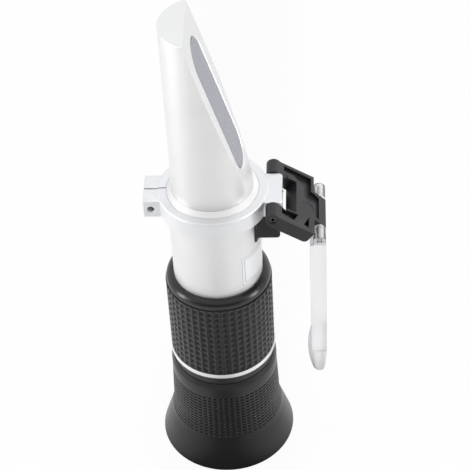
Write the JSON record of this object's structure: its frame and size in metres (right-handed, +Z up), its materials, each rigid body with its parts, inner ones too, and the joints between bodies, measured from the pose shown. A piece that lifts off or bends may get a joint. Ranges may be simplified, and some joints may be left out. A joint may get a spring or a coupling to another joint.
{
  "type": "handheld refractometer",
  "caption": "Optical handheld refractometer with a sloping prism face, hinged daylight plate, rubber grip and flared rubber eyecup.",
  "frame": {"origin": "centre of the eyecup's rim, in the plane on which the instrument stands", "axes": "+Z up the optical axis to the prism end, +X towards the sloping prism face and the cover's hinge, hinge pins along Y"},
  "size_m": [0.0507, 0.04, 0.1527],
  "materials": {
    "satin_aluminium": "fine satin, silver anodised",
    "blackened_metal": "matt black anodised",
    "black_rubber": "matt moulded rubber",
    "black_plastic": "satin moulded plastic",
    "clear_plastic": "clear polished acrylic",
    "optical_glass": "polished and coated",
    "prism_glass": "polished, darkened behind",
    "sealant": "cured optical cement",
    "steel": "bright machined",
    "brass": "machined"
  },
  "bodies": {
    "instrument": {"prism_housing": "satin_aluminium", "measuring_prism": "prism_glass", "prism_cement": "sealant", "prism_backing": "blackened_metal", "body_tube": "satin_aluminium", "clamp_ring": "satin_aluminium", "clamp_screw": "steel", "detent_ball": "steel", "calibration_cap": "black_rubber", "rubber_grip": "black_rubber", "trim_ring": "satin_aluminium", "eyepiece_socket": "black_plastic", "focus_seal": "black_rubber", "reticle_holder": "blackened_metal", "reticle": "optical_glass", "reticle_ring": "blackened_metal", "light_baffle": "blackened_metal", "stage_guide": "blackened_metal", "stage_cover_ring": "blackened_metal", "stage_spring": "steel", "bimetal_strip": "brass", "strip_rivets": "brass"},
    "bracket": {"cover_bracket": "black_plastic", "hinge_pin": "steel", "plate_pin": "steel"},
    "plate": {"daylight_plate": "clear_plastic"},
    "eyepiece": {"eyepiece_barrel": "black_plastic", "guide_pin": "steel", "eye_lens": "optical_glass", "field_lens": "optical_glass", "lens_spacer": "blackened_metal", "eye_lens_ring": "blackened_metal"},
    "focus_ring": {"focus_sleeve": "black_plastic", "rubber_eyecup": "black_rubber", "snap_ring": "steel"},
    "lens_stage": {"objective_stage": "blackened_metal", "objective_lens": "optical_glass", "objective_ring": "blackened_metal"},
    "adjuster": {"calibration_screw": "brass"}
  },
  "joints": [
    {"name": "cover_hinge", "type": "hinge", "parent": "instrument", "child": "bracket", "pos_m": [0.01645, 0, 0.09545], "axis": [0, -1, 0], "range_deg": [0, 148.95]},
    {"name": "plate_hinge", "type": "hinge", "parent": "bracket", "child": "plate", "pos_m": [0.0289, 0, 0.087], "axis": [0, -1, 0], "range_deg": [-8, 47.09]},
    {"name": "focus_slide", "type": "slide", "parent": "instrument", "child": "eyepiece", "axis": [0, 0, -1], "range_m": [0, 0.004]},
    {"name": "focus_turn", "type": "hinge", "parent": "eyepiece", "child": "focus_ring", "pos_m": [0, 0, 0.02], "axis": [0, 0, -1], "range_deg": [0, 240]},
    {"name": "stage_slide", "type": "slide", "parent": "instrument", "child": "lens_stage", "axis": [-1, 0, 0], "range_m": [-0.0003, 0.0003]},
    {"name": "calibration_turn", "type": "hinge", "parent": "lens_stage", "child": "adjuster", "pos_m": [0.012, 0, 0.0879], "axis": [-1, 0, 0], "range_deg": [-240, 240]}
  ],
  "couplings": [
    {"joint": "focus_slide", "follows": "focus_turn", "m_per_rad": 0.00095493},
    {"joint": "calibration_turn", "follows": "stage_slide", "rad_per_m": 13963}
  ]
}
